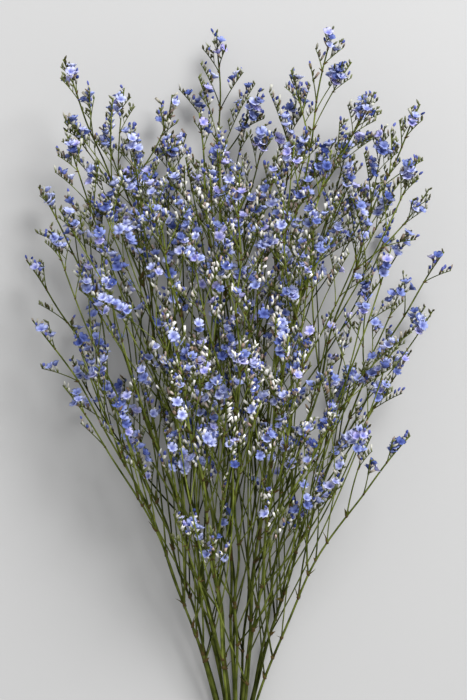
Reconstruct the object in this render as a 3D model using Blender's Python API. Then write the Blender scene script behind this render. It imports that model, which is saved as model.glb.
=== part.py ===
"""A bunch of dried statice lying on a surface: nineteen wiry, forked stems held by one elastic band.

Metres, +Z up. The bunch lies along +Y. The origin is on the surface, under the middle of the band, and
the cut ends are at -Y. Each stem is one solid: its main stem, long branches, side spikes and blooms are
joined by a Boolean union. The stems never touch each other: a branch that would cross another stem's
pieces is turned until it is clear, or left out.
"""

import math

import bmesh
import bpy
import numpy as np
from mathutils import Vector

# Stems at the band: packed in five rows, three stems at the bottom and the top and five in the middle.
STEM_SPACING = 0.0030
ROW_COUNTS = (3, 4, 5, 4, 3)
ROW_RISE = STEM_SPACING * math.sqrt(3) / 2
STEM_RADIUS = 0.00125
STEM_TIP_RADIUS = 0.00072
STEM_SIDES = 6
STEM_RINGS = 7

# The band is one rounded hexagon, a little clear of the stems.
BAND_THICKNESS = 0.0011
BAND_WIDTH = 0.0070
BAND_CLEARANCE = 0.0003
BAND_CORNER_STEPS = 3
BAND_INNER = STEM_RADIUS + BAND_CLEARANCE
LOWEST_ROW_Z = BAND_INNER + BAND_THICKNESS

# Below the band the stems spread a little, to cut ends of unequal length.
CUT_LENGTH = 0.060
CUT_UNEVENNESS = 0.006
CUT_SPREAD = 1.7
CUT_RISE = 1.25
STRAIGHT_AT_BAND = 0.0045

# Where each stem's tip ends: (x, y, z), one list for each row of the packing, from the surface up.
STEM_TIPS = (
    ((-0.091, 0.342, 0.012), (-0.012, 0.446, 0.014), (0.117, 0.276, 0.016)),
    ((-0.128, 0.304, 0.028), (-0.121, 0.349, 0.024), (0.037, 0.402, 0.030), (0.127, 0.309, 0.029)),
    (
        (-0.122, 0.267, 0.052),
        (-0.104, 0.424, 0.046),
        (-0.022, 0.391, 0.052),
        (0.058, 0.442, 0.054),
        (0.110, 0.396, 0.055),
    ),
    ((-0.103, 0.228, 0.060), (-0.052, 0.352, 0.082), (0.056, 0.366, 0.080), (0.104, 0.198, 0.056)),
    ((-0.040, 0.268, 0.098), (0.002, 0.350, 0.102), (0.046, 0.262, 0.096)),
)

# The two lowest outer stems touch the surface on a small flat: (row, place, y of the flat's middle).
RESTING_STEMS = ((0, 0, 0.255), (0, 2, 0.205))
REST_FLAT_LENGTH = 0.012

# Long branches that stand out in the crown's outline: (row, place, share of the stem at the fork, tip).
LEADING_BRANCHES = (
    (2, 1, 0.80, (-0.038, 0.401, 0.060)),
    (2, 3, 0.76, (0.082, 0.402, 0.066)),
    (2, 4, 0.74, (0.115, 0.345, 0.060)),
    (0, 1, 0.82, (0.014, 0.408, 0.026)),
)

# Branching: each stem carries long branches, and each branch and stem ends in a spray of spikes.
BRANCH_FORKS = (0.30, 0.43, 0.56, 0.69)
BRANCH_REACH = (0.50, 0.95)
BRANCH_SHORTEST = 0.045
BRANCH_ANGLE = (math.radians(20), math.radians(40))
BEND = 0.45
BRANCH_SIDES = 3
BRANCH_RINGS = 4
BRANCH_RADIUS = 0.00085
BRANCH_TIP_RADIUS = 0.00062
FINE_FORKS = (0.20, 0.36, 0.62)
FINE_REACH = (0.40, 0.92)
FINE_SHORTEST = 0.040
FINE_RADIUS = 0.00072
FINE_TIP_RADIUS = 0.00050
FINE_DEPTH_SHARE = 0.6
SPIKE_FROM_TIP = (0.022, 0.046)
SPIKE_LENGTHS = ((0.011, 0.016), (0.019, 0.028))
SPIKE_ANGLE = (math.radians(38), math.radians(55))
SPIKE_RADIUS = 0.00068
SPIKE_TIP_RADIUS = 0.00045
SPIKE_SIDES = 3
BLOOM_RADIUS = 0.0045
BLOOM_DEPTH = 0.0048
BLOOM_NOTCH = 0.56
BLOOM_DISH = 0.0007
BLOOM_FALL = 0.0012
BLOOM_LOBES = 5
BLOOM_TURN = 0.75

# The crown's outline from above: the least and the greatest x at each y.
CROWN_SIDES = (
    (0.000, -0.012, 0.012),
    (0.060, -0.022, 0.024),
    (0.110, -0.038, 0.042),
    (0.150, -0.056, 0.062),
    (0.190, -0.078, 0.090),
    (0.220, -0.098, 0.094),
    (0.255, -0.120, 0.112),
    (0.300, -0.126, 0.124),
    (0.345, -0.116, 0.116),
    (0.385, -0.098, 0.104),
    (0.405, -0.075, 0.085),
)
# The crown's outline from the side: the greatest z at each y.
CROWN_TOP = ((0.000, 0.030), (0.100, 0.058), (0.160, 0.082), (0.220, 0.106), (0.405, 0.106))
# Where the tips of the fine branches may be, from above: the least and the greatest y at each x.
FLOWERING_PART = (
    (-0.125, 0.240, 0.290),
    (-0.100, 0.223, 0.325),
    (-0.064, 0.195, 0.357),
    (-0.013, 0.152, 0.393),
    (0.038, 0.168, 0.380),
    (0.086, 0.186, 0.357),
    (0.125, 0.215, 0.310),
)

SPIKE_ALLOWANCE = 1.07
GAP = 0.00045
FLOOR_GAP = 0.0006
TRIES = 42
SEED = 41

STEM_GREEN = (0.135, 0.185, 0.045, 1.0)
BLOOM_BLUE = (0.215, 0.255, 0.720, 1.0)
BAND_TAN = (0.560, 0.400, 0.220, 1.0)


def unit(v):
    return v / np.linalg.norm(v, axis=-1, keepdims=True)


def across(direction):
    """Two unit vectors square to a direction: one lying level where it can, and one rising from it."""
    up = np.array((0.0, 0.0, 1.0)) if abs(direction[2]) < 0.9 else np.array((1.0, 0.0, 0.0))
    level = unit(np.cross(direction, up))
    return level, np.cross(level, direction)


def bezier(p0, p1, p2, p3, count):
    t = np.linspace(0, 1, count)[:, None]
    return (1 - t) ** 3 * p0 + 3 * (1 - t) ** 2 * t * p1 + 3 * (1 - t) * t**2 * p2 + t**3 * p3


def lengths_along(path):
    return np.concatenate(([0.0], np.cumsum(np.linalg.norm(np.diff(path, axis=0), axis=1))))


def point_on(path, distance):
    """The point and the unit direction at a distance along a path."""
    s = lengths_along(path)
    distance = min(max(distance, 0.0), s[-1])
    here = np.array([np.interp(distance, s, path[:, k]) for k in range(3)])
    i = min(max(int(np.searchsorted(s, distance)), 1), len(path) - 1)
    return here, unit(path[i] - path[i - 1])


def segment_distances(p, q, a, b):
    """The least distance between the segment p-q and each segment a[i]-b[i]."""
    u, v, w = q - p, b - a, p - a
    uu = max(float(u @ u), 1e-18)
    vv = np.maximum((v * v).sum(1), 1e-18)
    uv, uw, vw = v @ u, w @ u, (v * w).sum(1)
    spread = uu * vv - uv * uv
    s = np.where(spread > 1e-16 * uu * vv, (uv * vw - vv * uw) / np.maximum(spread, 1e-18), 0.0)
    s = np.clip(s, 0, 1)
    t = np.clip((uv * s + vw) / vv, 0, 1)
    s = np.clip((uv * t - uw) / uu, 0, 1)
    return np.linalg.norm(w + s[:, None] * u - t[:, None] * v, axis=1)


class Room:
    """What is already placed, as thick segments, each with the number of the stem that it is on."""

    def __init__(self):
        self.start, self.end, self.thick, self.owner = [], [], [], []

    def add(self, owner, path, thickness):
        for i in range(len(path) - 1):
            self.start.append(path[i])
            self.end.append(path[i + 1])
            self.thick.append(thickness)
            self.owner.append(owner)

    def clearance(self, owner, path, thickness):
        """The least gap between a path of this thickness and the pieces of the other stems."""
        others = np.array(self.owner) != owner
        if not others.any():
            return 1.0
        a, b = np.array(self.start)[others], np.array(self.end)[others]
        r = np.array(self.thick)[others] + thickness
        return min(float((segment_distances(path[i], path[i + 1], a, b) - r).min()) for i in range(len(path) - 1))


def slot_of(row, place):
    """Where a stem passes through the band."""
    x = (place - (ROW_COUNTS[row] - 1) / 2) * STEM_SPACING
    return np.array((x, 0.0, LOWEST_ROW_Z + row * ROW_RISE))


def stem_path(row, place, cut_y):
    """From the cut end, straight through the band, and out along one curve to the tip."""
    slot, tip = slot_of(row, place), np.array(STEM_TIPS[row][place])
    cut = np.array((slot[0] * CUT_SPREAD, cut_y, LOWEST_ROW_Z + (slot[2] - LOWEST_ROW_Z) * CUT_RISE))
    near, far = slot - (0, STRAIGHT_AT_BAND, 0), slot + (0, STRAIGHT_AT_BAND, 0)
    reach = np.linalg.norm(tip - far)
    leaving = far + np.array((0.20 * tip[0], 0.34 * reach, 0.20 * (tip[2] - far[2])))
    arriving = tip - 0.34 * reach * unit(np.array((1.7 * tip[0], tip[1], 1.1 * (tip[2] - far[2]))))
    return np.vstack((cut, near, bezier(far, leaving, arriving, tip, STEM_RINGS)))


def stem_radii(path):
    y = np.clip(path[:, 1] / path[-1, 1], 0, 1)
    return STEM_RADIUS + (STEM_TIP_RADIUS - STEM_RADIUS) * y**0.8


def rested(path, radii, y):
    """The path with two rings at the middle of the flat, low enough for one facet to lie on the surface."""
    after = int(np.searchsorted(path[:, 1], y))
    share = (y - path[after - 1, 1]) / (path[after, 1] - path[after - 1, 1])
    middle = path[after - 1] + share * (path[after] - path[after - 1])
    radius = radii[after - 1] + share * (radii[after] - radii[after - 1])
    middle[2] = radius * math.cos(math.pi / STEM_SIDES)
    along = path[after] - path[after - 1]
    along[2] = 0
    half = unit(along) * REST_FLAT_LENGTH / 2
    path = np.vstack((path[:after], middle - half, middle + half, path[after:]))
    return path, np.concatenate((radii[:after], (radius, radius), radii[after:]))


def branch_path(fork, along, leaving, length, count):
    """Leaves a fork one way and bends back towards the way that its parent grows."""
    end = fork + unit(leaving + BEND * along) * length
    return bezier(fork, fork + 0.36 * length * leaving, end - 0.3 * length * unit(0.55 * leaving + along), end, count)


def in_crown(path, allowance=1.0):
    """True where a path stays inside the crown's outline."""
    y, least, greatest = np.array(CROWN_SIDES).T
    inside = path[:, 0] >= allowance * np.interp(path[:, 1], y, least)
    inside &= path[:, 0] <= allowance * np.interp(path[:, 1], y, greatest)
    inside &= path[:, 1] <= max(allowance * y[-1], path[0, 1])
    inside &= path[:, 2] <= np.interp(path[:, 1], *np.array(CROWN_TOP).T)
    return bool(inside.all())


def in_flowering_part(tip):
    x, least, greatest = np.array(FLOWERING_PART).T
    return bool(np.interp(tip[0], x, least) <= tip[1] <= np.interp(tip[0], x, greatest))


def off_surface(path, thickness):
    return bool((path[:, 2] - thickness >= FLOOR_GAP).all())


def turned(along, angle, azimuth):
    """The direction that leans away from another by an angle, towards an azimuth about it."""
    level, rising = across(along)
    return unit(math.cos(angle) * along + math.sin(angle) * (math.cos(azimuth) * level + math.sin(azimuth) * rising))


def leading_branch(stem, share, tip):
    """A long branch that ends at a given tip: the way it leaves is worked back from where it ends."""
    length = lengths_along(stem["path"])[-1] - CUT_LENGTH
    fork, along = point_on(stem["path"], CUT_LENGTH + length * share)
    chord = np.array(tip) - fork
    ahead = unit(chord) @ along
    size = BEND * ahead + math.sqrt(BEND**2 * ahead**2 + 1 - BEND**2)
    return branch_path(fork, along, size * unit(chord) - BEND * along, np.linalg.norm(chord), BRANCH_RINGS)


def place_branches(stems, room, draw):
    """Long branches, one round of forks at a time. Each takes the try whose tip is furthest from the others."""
    for row, place, share, tip in LEADING_BRANCHES:
        number = sum(ROW_COUNTS[:row]) + place
        stems[number]["branches"].append(leading_branch(stems[number], share, tip))
        room.add(number, stems[number]["branches"][-1], BRANCH_RADIUS)
    tips = [path[-1] for s in stems for path in (s["path"], *s["branches"])]
    for turn, share in enumerate(BRANCH_FORKS):
        for number, stem in enumerate(stems):
            if len(stem["branches"]) > turn:
                continue
            length = lengths_along(stem["path"])[-1] - CUT_LENGTH
            at = CUT_LENGTH + length * (share + draw.uniform(-0.05, 0.05))
            fork, along = point_on(stem["path"], at)
            left = length - (at - CUT_LENGTH)
            best, best_score = None, 0.0
            for attempt in range(TRIES):
                side = math.pi * ((turn + number + attempt // 14) % 2) + draw.uniform(-1.1, 1.1)
                leaving = turned(along, draw.uniform(*BRANCH_ANGLE), side)
                reach = max(BRANCH_SHORTEST, left * draw.uniform(*BRANCH_REACH))
                path = branch_path(fork, along, leaving, reach, BRANCH_RINGS)
                if not in_crown(path[1:]) or not off_surface(path[1:], BLOOM_RADIUS):
                    continue
                if room.clearance(number, path, BRANCH_RADIUS) < GAP:
                    continue
                if room.clearance(number, path[-2:], BLOOM_RADIUS) < GAP:
                    continue
                score = min(np.linalg.norm(path[-1] - t) for t in tips)
                if score > best_score:
                    best, best_score = path, score
            if best is not None:
                stem["branches"].append(best)
                room.add(number, best, BRANCH_RADIUS)
                tips.append(best[-1])


def place_fine_branches(stems, room, draw):
    """Thin branches that fill the crown, placed like the long ones, with a bloom at each end."""
    weight = np.array((1.0, 1.0, FINE_DEPTH_SHARE))
    tips = [weight * path[-1] for s in stems for path in (s["path"], *s["branches"])]
    for share in FINE_FORKS:
        for number, stem in enumerate(stems):
            length = lengths_along(stem["path"])[-1] - CUT_LENGTH
            at = CUT_LENGTH + length * (share + draw.uniform(-0.05, 0.05))
            fork, along = point_on(stem["path"], at)
            left = length - (at - CUT_LENGTH)
            best, best_score = None, 0.0
            for attempt in range(TRIES):
                leaving = turned(along, draw.uniform(*BRANCH_ANGLE), draw.uniform(0, math.tau))
                reach = max(FINE_SHORTEST, left * draw.uniform(*FINE_REACH))
                path = branch_path(fork, along, leaving, reach, BRANCH_RINGS)
                if not in_crown(path[1:]) or not off_surface(path[1:], BLOOM_RADIUS):
                    continue
                score = min(np.linalg.norm(weight * path[-1] - t) for t in tips)
                if score < best_score or not in_flowering_part(path[-1]):
                    continue
                if room.clearance(number, path, FINE_RADIUS) > GAP:
                    best, best_score = path, score
            if best is not None:
                room.add(number, best, FINE_RADIUS)
                place_bloom(stem["fine"], number, room, best, draw)
                tips.append(weight * best[-1])


def place_bloom(twigs, number, room, path, draw):
    """Keeps a twig with a bloom at its end, turned until it is clear of the other stems, or with none."""
    end, along = path[-1], unit(path[-1] - path[-2])
    for attempt in range(TRIES):
        wanted = np.array((0.0, 0.35, 0.50)) + 0.45 * draw.uniform(-1, 1, 3)
        face = unit(along + BLOOM_TURN * unit(wanted - (wanted @ along) * along))
        middle = end + BLOOM_DEPTH * face
        reach = np.vstack((middle - 1e-5 * face, middle))
        if off_surface(reach, BLOOM_RADIUS) and room.clearance(number, reach, BLOOM_RADIUS) > GAP:
            twigs.append((path, face))
            room.add(number, reach, BLOOM_RADIUS)
            return
    twigs.append((path, None))


def place_spikes(stems, room, draw):
    """Side spikes near the tip of every stem and long branch, on alternate sides, then their blooms."""
    placed = []
    for turn, from_tip in enumerate(SPIKE_FROM_TIP):
        for number, stem in enumerate(stems):
            for place, axis in enumerate([stem["path"], *stem["branches"]]):
                fork, along = point_on(axis, lengths_along(axis)[-1] - from_tip)
                for attempt in range(TRIES):
                    side = math.pi * ((turn + place + attempt // 8) % 2) + draw.uniform(-0.9, 0.9)
                    leaving = turned(along, draw.uniform(*SPIKE_ANGLE), side)
                    path = branch_path(fork, along, leaving, draw.uniform(*SPIKE_LENGTHS[turn]), 3)
                    if not off_surface(path[1:], SPIKE_RADIUS) or not in_crown(path[1:], SPIKE_ALLOWANCE):
                        continue
                    if room.clearance(number, path, SPIKE_RADIUS) > GAP:
                        placed.append((number, path))
                        room.add(number, path, SPIKE_RADIUS)
                        break
    for number, path in placed:
        place_bloom(stems[number]["spikes"], number, room, path, draw)


def grown():
    """Every stem's paths, and the way that each twig's bloom faces, before anything is modelled."""
    draw = np.random.default_rng(SEED)
    room, stems = Room(), []
    for row, count in enumerate(ROW_COUNTS):
        for place in range(count):
            path = stem_path(row, place, -CUT_LENGTH + draw.uniform(-1, 1) * CUT_UNEVENNESS)
            radii = stem_radii(path)
            for rest_row, rest_place, y in RESTING_STEMS:
                if (row, place) == (rest_row, rest_place):
                    path, radii = rested(path, radii, y)
            stems.append({"path": path, "radii": radii, "branches": [], "fine": [], "spikes": []})
            room.add(len(stems) - 1, path, STEM_RADIUS)
    place_branches(stems, room, draw)
    place_fine_branches(stems, room, draw)
    place_spikes(stems, room, draw)
    return stems


def material(name, colour, roughness):
    made = bpy.data.materials.new(name)
    made.use_nodes = True
    shader = made.node_tree.nodes["Principled BSDF"]
    shader.inputs["Base Color"].default_value = colour
    shader.inputs["Roughness"].default_value = roughness
    shader.inputs["Metallic"].default_value = 0.0
    made.diffuse_color = colour
    return made


def mesh_object(name, shape, materials, collection):
    mesh = bpy.data.meshes.new(name)
    bmesh.ops.recalc_face_normals(shape, faces=shape.faces)
    shape.to_mesh(mesh)
    shape.free()
    for m in materials:
        mesh.materials.append(m)
    made = bpy.data.objects.new(name, mesh)
    collection.objects.link(made)
    return made


def open_into_bloom(shape, ring, end, face):
    """Opens a tube's last ring into a rim of rounded lobes with notches between them, and closes it with a
    shallow dish."""
    level, rising = across(face)
    around = [math.atan2((v.co - Vector(end)) @ Vector(rising), (v.co - Vector(end)) @ Vector(level)) for v in ring]
    middle = shape.verts.new(end + (BLOOM_DEPTH - BLOOM_DISH) * face)
    rim, nearest = [], []
    for i in range(2 * BLOOM_LOBES):
        angle = math.pi * i / BLOOM_LOBES
        radius = BLOOM_RADIUS * (1.0 if i % 2 else BLOOM_NOTCH)
        outwards = math.cos(angle) * level + math.sin(angle) * rising
        rim.append(shape.verts.new(end + (BLOOM_DEPTH - (0 if i % 2 else BLOOM_FALL)) * face + radius * outwards))
        nearest.append(ring[max(range(len(ring)), key=lambda k: math.cos(around[k] - angle))])
    petals = []
    for i in range(len(rim)):
        j = (i + 1) % len(rim)
        petals.append(shape.faces.new((rim[i], rim[j], nearest[i])))
        petals.append(shape.faces.new((rim[j], rim[i], middle)))
        if nearest[i] is not nearest[j]:
            petals.append(shape.faces.new((nearest[i], rim[j], nearest[j])))
    for f in petals:
        f.material_index = 1


def tube(path, radii, sides, face=None):
    """A closed tube round a path, with a bloom at its end if one faces somewhere. Where the path runs level,
    one facet is level too and faces down."""
    shape = bmesh.new()
    steps = unit(np.diff(path, axis=0))
    directions = unit(np.vstack((steps[:1], steps[:-1] + steps[1:], steps[-1:])))
    for i in np.flatnonzero(np.abs(steps[:, 2]) < 1e-9):
        directions[i : i + 2] = steps[i]
    facing = unit(directions.mean(0))
    level, rising = across(facing)
    turns = math.tau * (np.arange(sides) + 0.5) / sides
    rings = []
    for point, radius, direction in zip(path, radii, directions):
        side = unit(level - (level @ direction) * direction)
        above = np.cross(side, direction)
        ring = [point + radius * (math.sin(a) * side - math.cos(a) * above) for a in turns]
        rings.append([shape.verts.new(v) for v in ring])
    shape.faces.new(rings[0])
    if face is None:
        shape.faces.new(rings[-1])
    else:
        open_into_bloom(shape, rings[-1], path[-1], face)
    for first, second in zip(rings, rings[1:]):
        for i in range(sides):
            j = (i + 1) % sides
            shape.faces.new((first[i], first[j], second[j], second[i]))
    return shape


def joined(body, pieces):
    """One Boolean union of the body with every object of a collection, which is then removed."""
    union = body.modifiers.new("join", "BOOLEAN")
    union.operation = "UNION"
    union.operand_type = "COLLECTION"
    union.collection = pieces
    union.solver = "MANIFOLD"
    graph = bpy.context.evaluated_depsgraph_get()
    mesh = bpy.data.meshes.new_from_object(body.evaluated_get(graph))
    body.modifiers.clear()
    body.data = mesh
    for piece in list(pieces.objects):
        bpy.data.objects.remove(piece)
    bpy.data.collections.remove(pieces)


def model_stem(name, stem, materials, parent):
    scene = bpy.context.scene.collection
    body = mesh_object(name, tube(stem["path"], stem["radii"], STEM_SIDES), materials, scene)
    pieces = bpy.data.collections.new(name + "_pieces")
    scene.children.link(pieces)
    for path in stem["branches"]:
        radii = np.linspace(BRANCH_RADIUS, BRANCH_TIP_RADIUS, len(path))
        mesh_object("branch", tube(path, radii, BRANCH_SIDES), materials, pieces)
    for path, face in stem["fine"]:
        radii = np.linspace(FINE_RADIUS, FINE_TIP_RADIUS, len(path))
        mesh_object("fine_branch", tube(path, radii, BRANCH_SIDES, face), materials, pieces)
    for path, face in stem["spikes"]:
        radii = np.linspace(SPIKE_RADIUS, SPIKE_TIP_RADIUS, len(path))
        mesh_object("spike", tube(path, radii, SPIKE_SIDES, face), materials, pieces)
    joined(body, pieces)
    body.data.shade_smooth()
    body.data.set_sharp_from_angle(angle=math.radians(50))
    body.parent = parent


def band_outline(offset):
    """A hexagon round the outer stems, pushed out by an offset, with each corner an arc. Pairs of x and z."""
    centre_z = LOWEST_ROW_Z + 2 * ROW_RISE
    points = []
    for corner in range(6):
        middle = math.radians(60 * corner)
        for step in range(BAND_CORNER_STEPS):
            angle = middle + math.radians(60) * (step / (BAND_CORNER_STEPS - 1) - 0.5)
            x = 2 * STEM_SPACING * math.cos(middle) + offset * math.cos(angle)
            z = centre_z + 2 * STEM_SPACING * math.sin(middle) + offset * math.sin(angle)
            points.append((x, z))
    return points


def model_band(materials, parent):
    shape = bmesh.new()
    loops = []
    for offset, y in (
        (BAND_INNER, -BAND_WIDTH / 2),
        (BAND_INNER + BAND_THICKNESS, -BAND_WIDTH / 2),
        (BAND_INNER + BAND_THICKNESS, BAND_WIDTH / 2),
        (BAND_INNER, BAND_WIDTH / 2),
    ):
        loops.append([shape.verts.new((x, y, z)) for x, z in band_outline(offset)])
    count = len(loops[0])
    for first, second in zip(loops, loops[1:] + loops[:1]):
        for i in range(count):
            j = (i + 1) % count
            shape.faces.new((first[i], first[j], second[j], second[i]))
    made = mesh_object("elastic_band", shape, materials, bpy.context.scene.collection)
    made.data.shade_smooth()
    made.data.set_sharp_from_angle(angle=math.radians(50))
    made.parent = parent


def main():
    for old in list(bpy.data.objects):
        bpy.data.objects.remove(old)
    bunch = bpy.data.objects.new("statice_bunch", None)
    bpy.context.scene.collection.objects.link(bunch)
    green = material("dried green stem", STEM_GREEN, 0.75)
    blue = material("dried blue bloom", BLOOM_BLUE, 0.85)
    tan = material("elastic band", BAND_TAN, 0.60)
    for number, stem in enumerate(grown()):
        model_stem(f"statice_stem_{number + 1:02d}", stem, (green, blue), bunch)
    model_band((tan,), bunch)


main()
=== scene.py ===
"""The looks of the dried statice bunch: wiry forked stems, papery buds and small blue-violet blooms.

The stems grow by the same rules and from the same seed as the solids, so every stem, long branch, side
spike and bloom of the solids has its finished one in the same place. The finished plant adds thin branches,
short twigs, buds, small blooms, scales and bracts.
"""

import math

import bpy
import numpy as np
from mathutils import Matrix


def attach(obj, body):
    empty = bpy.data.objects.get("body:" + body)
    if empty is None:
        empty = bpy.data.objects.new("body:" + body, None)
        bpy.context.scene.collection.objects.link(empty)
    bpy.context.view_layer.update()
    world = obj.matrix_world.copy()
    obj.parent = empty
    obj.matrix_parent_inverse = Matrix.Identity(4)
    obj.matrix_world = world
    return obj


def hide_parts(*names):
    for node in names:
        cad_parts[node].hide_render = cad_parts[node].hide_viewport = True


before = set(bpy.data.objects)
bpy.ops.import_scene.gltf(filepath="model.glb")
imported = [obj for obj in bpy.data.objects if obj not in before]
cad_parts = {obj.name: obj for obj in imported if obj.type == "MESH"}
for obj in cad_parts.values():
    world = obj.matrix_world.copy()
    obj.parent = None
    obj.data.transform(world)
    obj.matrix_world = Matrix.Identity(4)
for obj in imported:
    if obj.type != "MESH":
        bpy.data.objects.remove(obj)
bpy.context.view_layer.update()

# Growth of the stems: the same driving values as the solids have. Lengths are in metres.
STEM_SPACING = 0.0030
ROW_COUNTS = (3, 4, 5, 4, 3)
ROW_RISE = STEM_SPACING * math.sqrt(3) / 2
STEM_RADIUS = 0.00125
STEM_TIP_RADIUS = 0.00072
STEM_TAPER = 0.8
STEM_SIDES = 6
STEM_RINGS = 7
STEM_HANDLE = 0.34
STEM_SPREAD = 0.20
STEM_LEAN = (1.7, 1.1)
BAND_THICKNESS = 0.0011
BAND_WIDTH = 0.0070
BAND_CLEARANCE = 0.0003
BAND_INNER = STEM_RADIUS + BAND_CLEARANCE
LOWEST_ROW_Z = BAND_INNER + BAND_THICKNESS
CUT_LENGTH = 0.060
CUT_UNEVENNESS = 0.006
CUT_SPREAD = 1.7
CUT_RISE = 1.25
STRAIGHT_AT_BAND = 0.0045
STEM_TIPS = (
    ((-0.091, 0.342, 0.012), (-0.012, 0.446, 0.014), (0.117, 0.276, 0.016)),
    ((-0.128, 0.304, 0.028), (-0.121, 0.349, 0.024), (0.037, 0.402, 0.030), (0.127, 0.309, 0.029)),
    (
        (-0.122, 0.267, 0.052),
        (-0.104, 0.424, 0.046),
        (-0.022, 0.391, 0.052),
        (0.058, 0.442, 0.054),
        (0.110, 0.396, 0.055),
    ),
    ((-0.103, 0.228, 0.060), (-0.052, 0.352, 0.082), (0.056, 0.366, 0.080), (0.104, 0.198, 0.056)),
    ((-0.040, 0.268, 0.098), (0.002, 0.350, 0.102), (0.046, 0.262, 0.096)),
)
RESTING_STEMS = {(0, 0): 0.255, (0, 2): 0.205}
REST_FLAT_LENGTH = 0.012
LEADING_BRANCHES = (
    (2, 1, 0.80, (-0.038, 0.401, 0.060)),
    (2, 3, 0.76, (0.082, 0.402, 0.066)),
    (2, 4, 0.74, (0.115, 0.345, 0.060)),
    (0, 1, 0.82, (0.014, 0.408, 0.026)),
)
BRANCH_FORKS = (0.30, 0.43, 0.56, 0.69)
FORK_SHIFT = 0.05
BRANCH_REACH = (0.50, 0.95)
BRANCH_SHORTEST = 0.045
BRANCH_ANGLE = (math.radians(20), math.radians(40))
BRANCH_SIDES = (14, 1.1)
BRANCH_HANDLES = (0.36, 0.3)
BRANCH_ARRIVING = 0.55
BEND = 0.45
BRANCH_RINGS = 4
BRANCH_RADIUS = 0.00085
FINE_FORKS = (0.20, 0.36, 0.62)
FINE_REACH = (0.40, 0.92)
FINE_SHORTEST = 0.040
FINE_RADIUS = 0.00072
TIP_WEIGHT = np.array((1.0, 1.0, 0.6))
SPIKE_FROM_TIP = (0.022, 0.046)
SPIKE_LENGTHS = ((0.011, 0.016), (0.019, 0.028))
SPIKE_ANGLE = (math.radians(38), math.radians(55))
SPIKE_SIDES = (8, 0.9)
SPIKE_RADIUS = 0.00068
BLOOM_RADIUS = 0.0045
BLOOM_DEPTH = 0.0048
BLOOM_TURN = 0.75
BLOOM_FACING = (0.0, 0.35, 0.50)
BLOOM_FACING_SPREAD = 0.45
CROWN_SIDES = (
    (0.000, -0.012, 0.012),
    (0.060, -0.022, 0.024),
    (0.110, -0.038, 0.042),
    (0.150, -0.056, 0.062),
    (0.190, -0.078, 0.090),
    (0.220, -0.098, 0.094),
    (0.255, -0.120, 0.112),
    (0.300, -0.126, 0.124),
    (0.345, -0.116, 0.116),
    (0.385, -0.098, 0.104),
    (0.405, -0.075, 0.085),
)
CROWN_TOP = ((0.000, 0.030), (0.100, 0.058), (0.160, 0.082), (0.220, 0.106), (0.405, 0.106))
FLOWERING_PART = (
    (-0.125, 0.240, 0.290),
    (-0.100, 0.223, 0.325),
    (-0.064, 0.195, 0.357),
    (-0.013, 0.152, 0.393),
    (0.038, 0.168, 0.380),
    (0.086, 0.186, 0.357),
    (0.125, 0.215, 0.310),
)
SPIKE_ALLOWANCE = 1.07
GAP = 0.00045
FLOOR_GAP = 0.0006
TRIES = 42
SEED = 41

# The finished plant's twigs. Lengths are in metres.
EXTRA_SEED = SEED + 500
TWIG_SEED = SEED + 1000
BUD_SEED = SEED + 2000
STEM_POINTS = 64
BRANCH_POINTS = 22
SPIKE_POINTS = 9
TWIG_POINTS = 5
AXIS_POINTS = 200
TWIG_SIDES = (10, 8, 6, 4)
WOBBLE = 0.0014
WOBBLE_LENGTH = 0.085
WOBBLE_STARTS = (0.030, 0.080)
WOBBLE_ENDS = 0.050
THIN_RADIUS = 0.00092
THINNING_PAST_BAND = (0.006, 0.020)
FINE_STEM_TIP_RADIUS = 0.00048
FINE_BRANCH_TIP_RADIUS = 0.00042
SPIKE_END_RADIUS = 0.00028
TWIG_END_RADIUS = 0.00021
LONG_BRANCH_SHARE = 0.78
FINE_BRANCH_SHARE = 0.56
SPIKE_SHARE = 0.75
TWIG_SHARE = 0.7
CUT_FACE = 0.0006
LOWEST_TWIG = 0.004
INTO_BLOOM = 0.6
EXTRA_FORKS = (0.32, 0.52, 0.74)
EXTRA_FORK_SHIFT = 0.06
EXTRA_TRIES = 30
EXTRA_LOWEST = 0.030
EXTRA_MIDDLE = 0.042
EXTRA_TOP = 0.325
EXTRA_RISE = 0.010
TOP_BRANCHES = (
    (2, 1, 0.78, (-0.067, 0.406, 0.052)),
    (2, 1, 0.81, (-0.103, 0.386, 0.050)),
    (0, 1, 0.84, (-0.023, 0.417, 0.020)),
    (2, 3, 0.83, (0.033, 0.417, 0.050)),
    (2, 3, 0.86, (0.069, 0.421, 0.056)),
    (2, 4, 0.79, (0.089, 0.383, 0.054)),
    (1, 1, 0.80, (-0.088, 0.345, 0.034)),
)
LOW_BRANCHES = (
    (4, 0, 0.20, (-0.037, 0.152, 0.068)),
    (3, 1, 0.15, (-0.015, 0.143, 0.066)),
    (3, 2, 0.22, (0.041, 0.158, 0.062)),
)
LOW_SPRAY_DEPTH = 0.016
FINISHED_SIDES = (
    (0.120, -0.052, 0.060),
    (0.195, -0.080, 0.104),
    (0.231, -0.101, 0.096),
    (0.249, -0.100, 0.106),
    (0.267, -0.122, 0.117),
    (0.279, -0.102, 0.118),
    (0.303, -0.128, 0.128),
    (0.345, -0.122, 0.115),
    (0.399, -0.106, 0.113),
    (0.425, -0.108, 0.072),
    (0.440, -0.030, 0.068),
    (0.454, -0.020, 0.064),
)
CLUMP_WAVES = ((190.0, 60.0, 40.0), (-70.0, 170.0, 90.0), (120.0, -130.0, 110.0), (40.0, 150.0, -160.0))
CLUMP_STARTS = (0.3, 3.4, 2.6, 2.2)
TWIG_CLUMPING = (0.90, 1.2)
TOP_FILLS = (0.300, 0.040)
MIDDLE_FILLS = (0.150, 0.090, 0.2)
MIDDLE_X = 0.003
MIDDLE_HALF = 0.045
SIDE_SPIKES = ((0.012, 1), (0.022, 0), (0.027, 1), (0.046, 1), (0.052, 0), (0.073, 1), (0.081, 0), (0.102, 1))
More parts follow.
